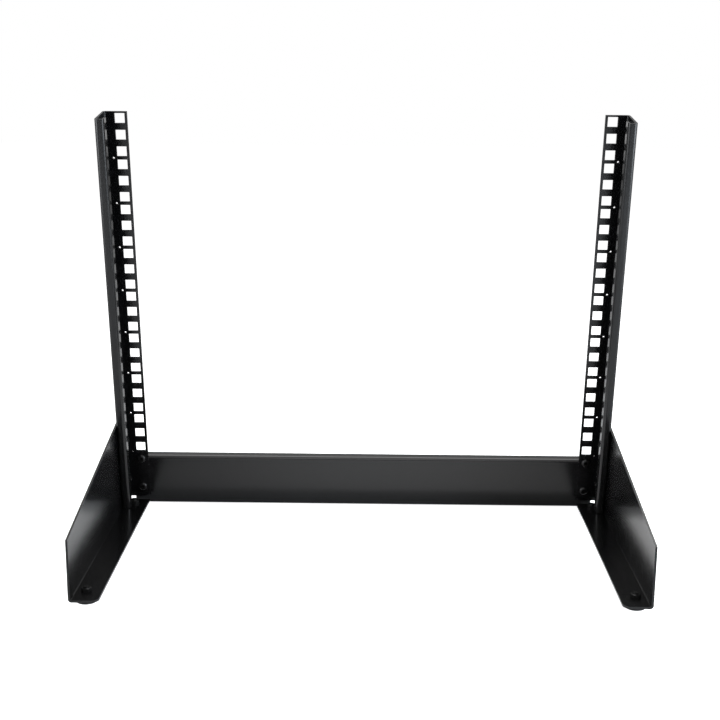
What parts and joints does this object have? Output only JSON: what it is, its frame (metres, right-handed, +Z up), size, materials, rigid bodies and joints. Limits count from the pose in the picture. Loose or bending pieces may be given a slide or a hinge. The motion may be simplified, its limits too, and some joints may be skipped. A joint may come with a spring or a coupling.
{
  "type": "two post open frame rack",
  "caption": "Desktop open frame rack: two leaning hole-flange posts on side feet, tied by a cross beam, for 19 inch equipment.",
  "frame": {"origin": "on the floor, in the middle of the bounding box", "axes": "+Z up, +X to the right along the cross beam, -Y towards the front end of the feet, over which the posts lean"},
  "size_m": [0.501, 0.2798, 0.413],
  "materials": {
    "black_powder_coat": "semi-gloss black powder coat",
    "black_rubber": "matt moulded rubber",
    "black_screw": "black oxide screw"
  },
  "bodies": {
    "root": {"left_post": "black_powder_coat", "right_post": "black_powder_coat", "cross_beam": "black_powder_coat", "left_foot": "black_powder_coat", "right_foot": "black_powder_coat", "front_left_rubber_foot": "black_rubber", "rear_left_rubber_foot": "black_rubber", "front_right_rubber_foot": "black_rubber", "rear_right_rubber_foot": "black_rubber", "front_left_foot_screw": "black_screw", "rear_left_foot_screw": "black_screw", "front_right_foot_screw": "black_screw", "rear_right_foot_screw": "black_screw", "front_left_foot_nut": "black_screw", "rear_left_foot_nut": "black_screw", "front_right_foot_nut": "black_screw", "rear_right_foot_nut": "black_screw"}
  },
  "joints": []
}
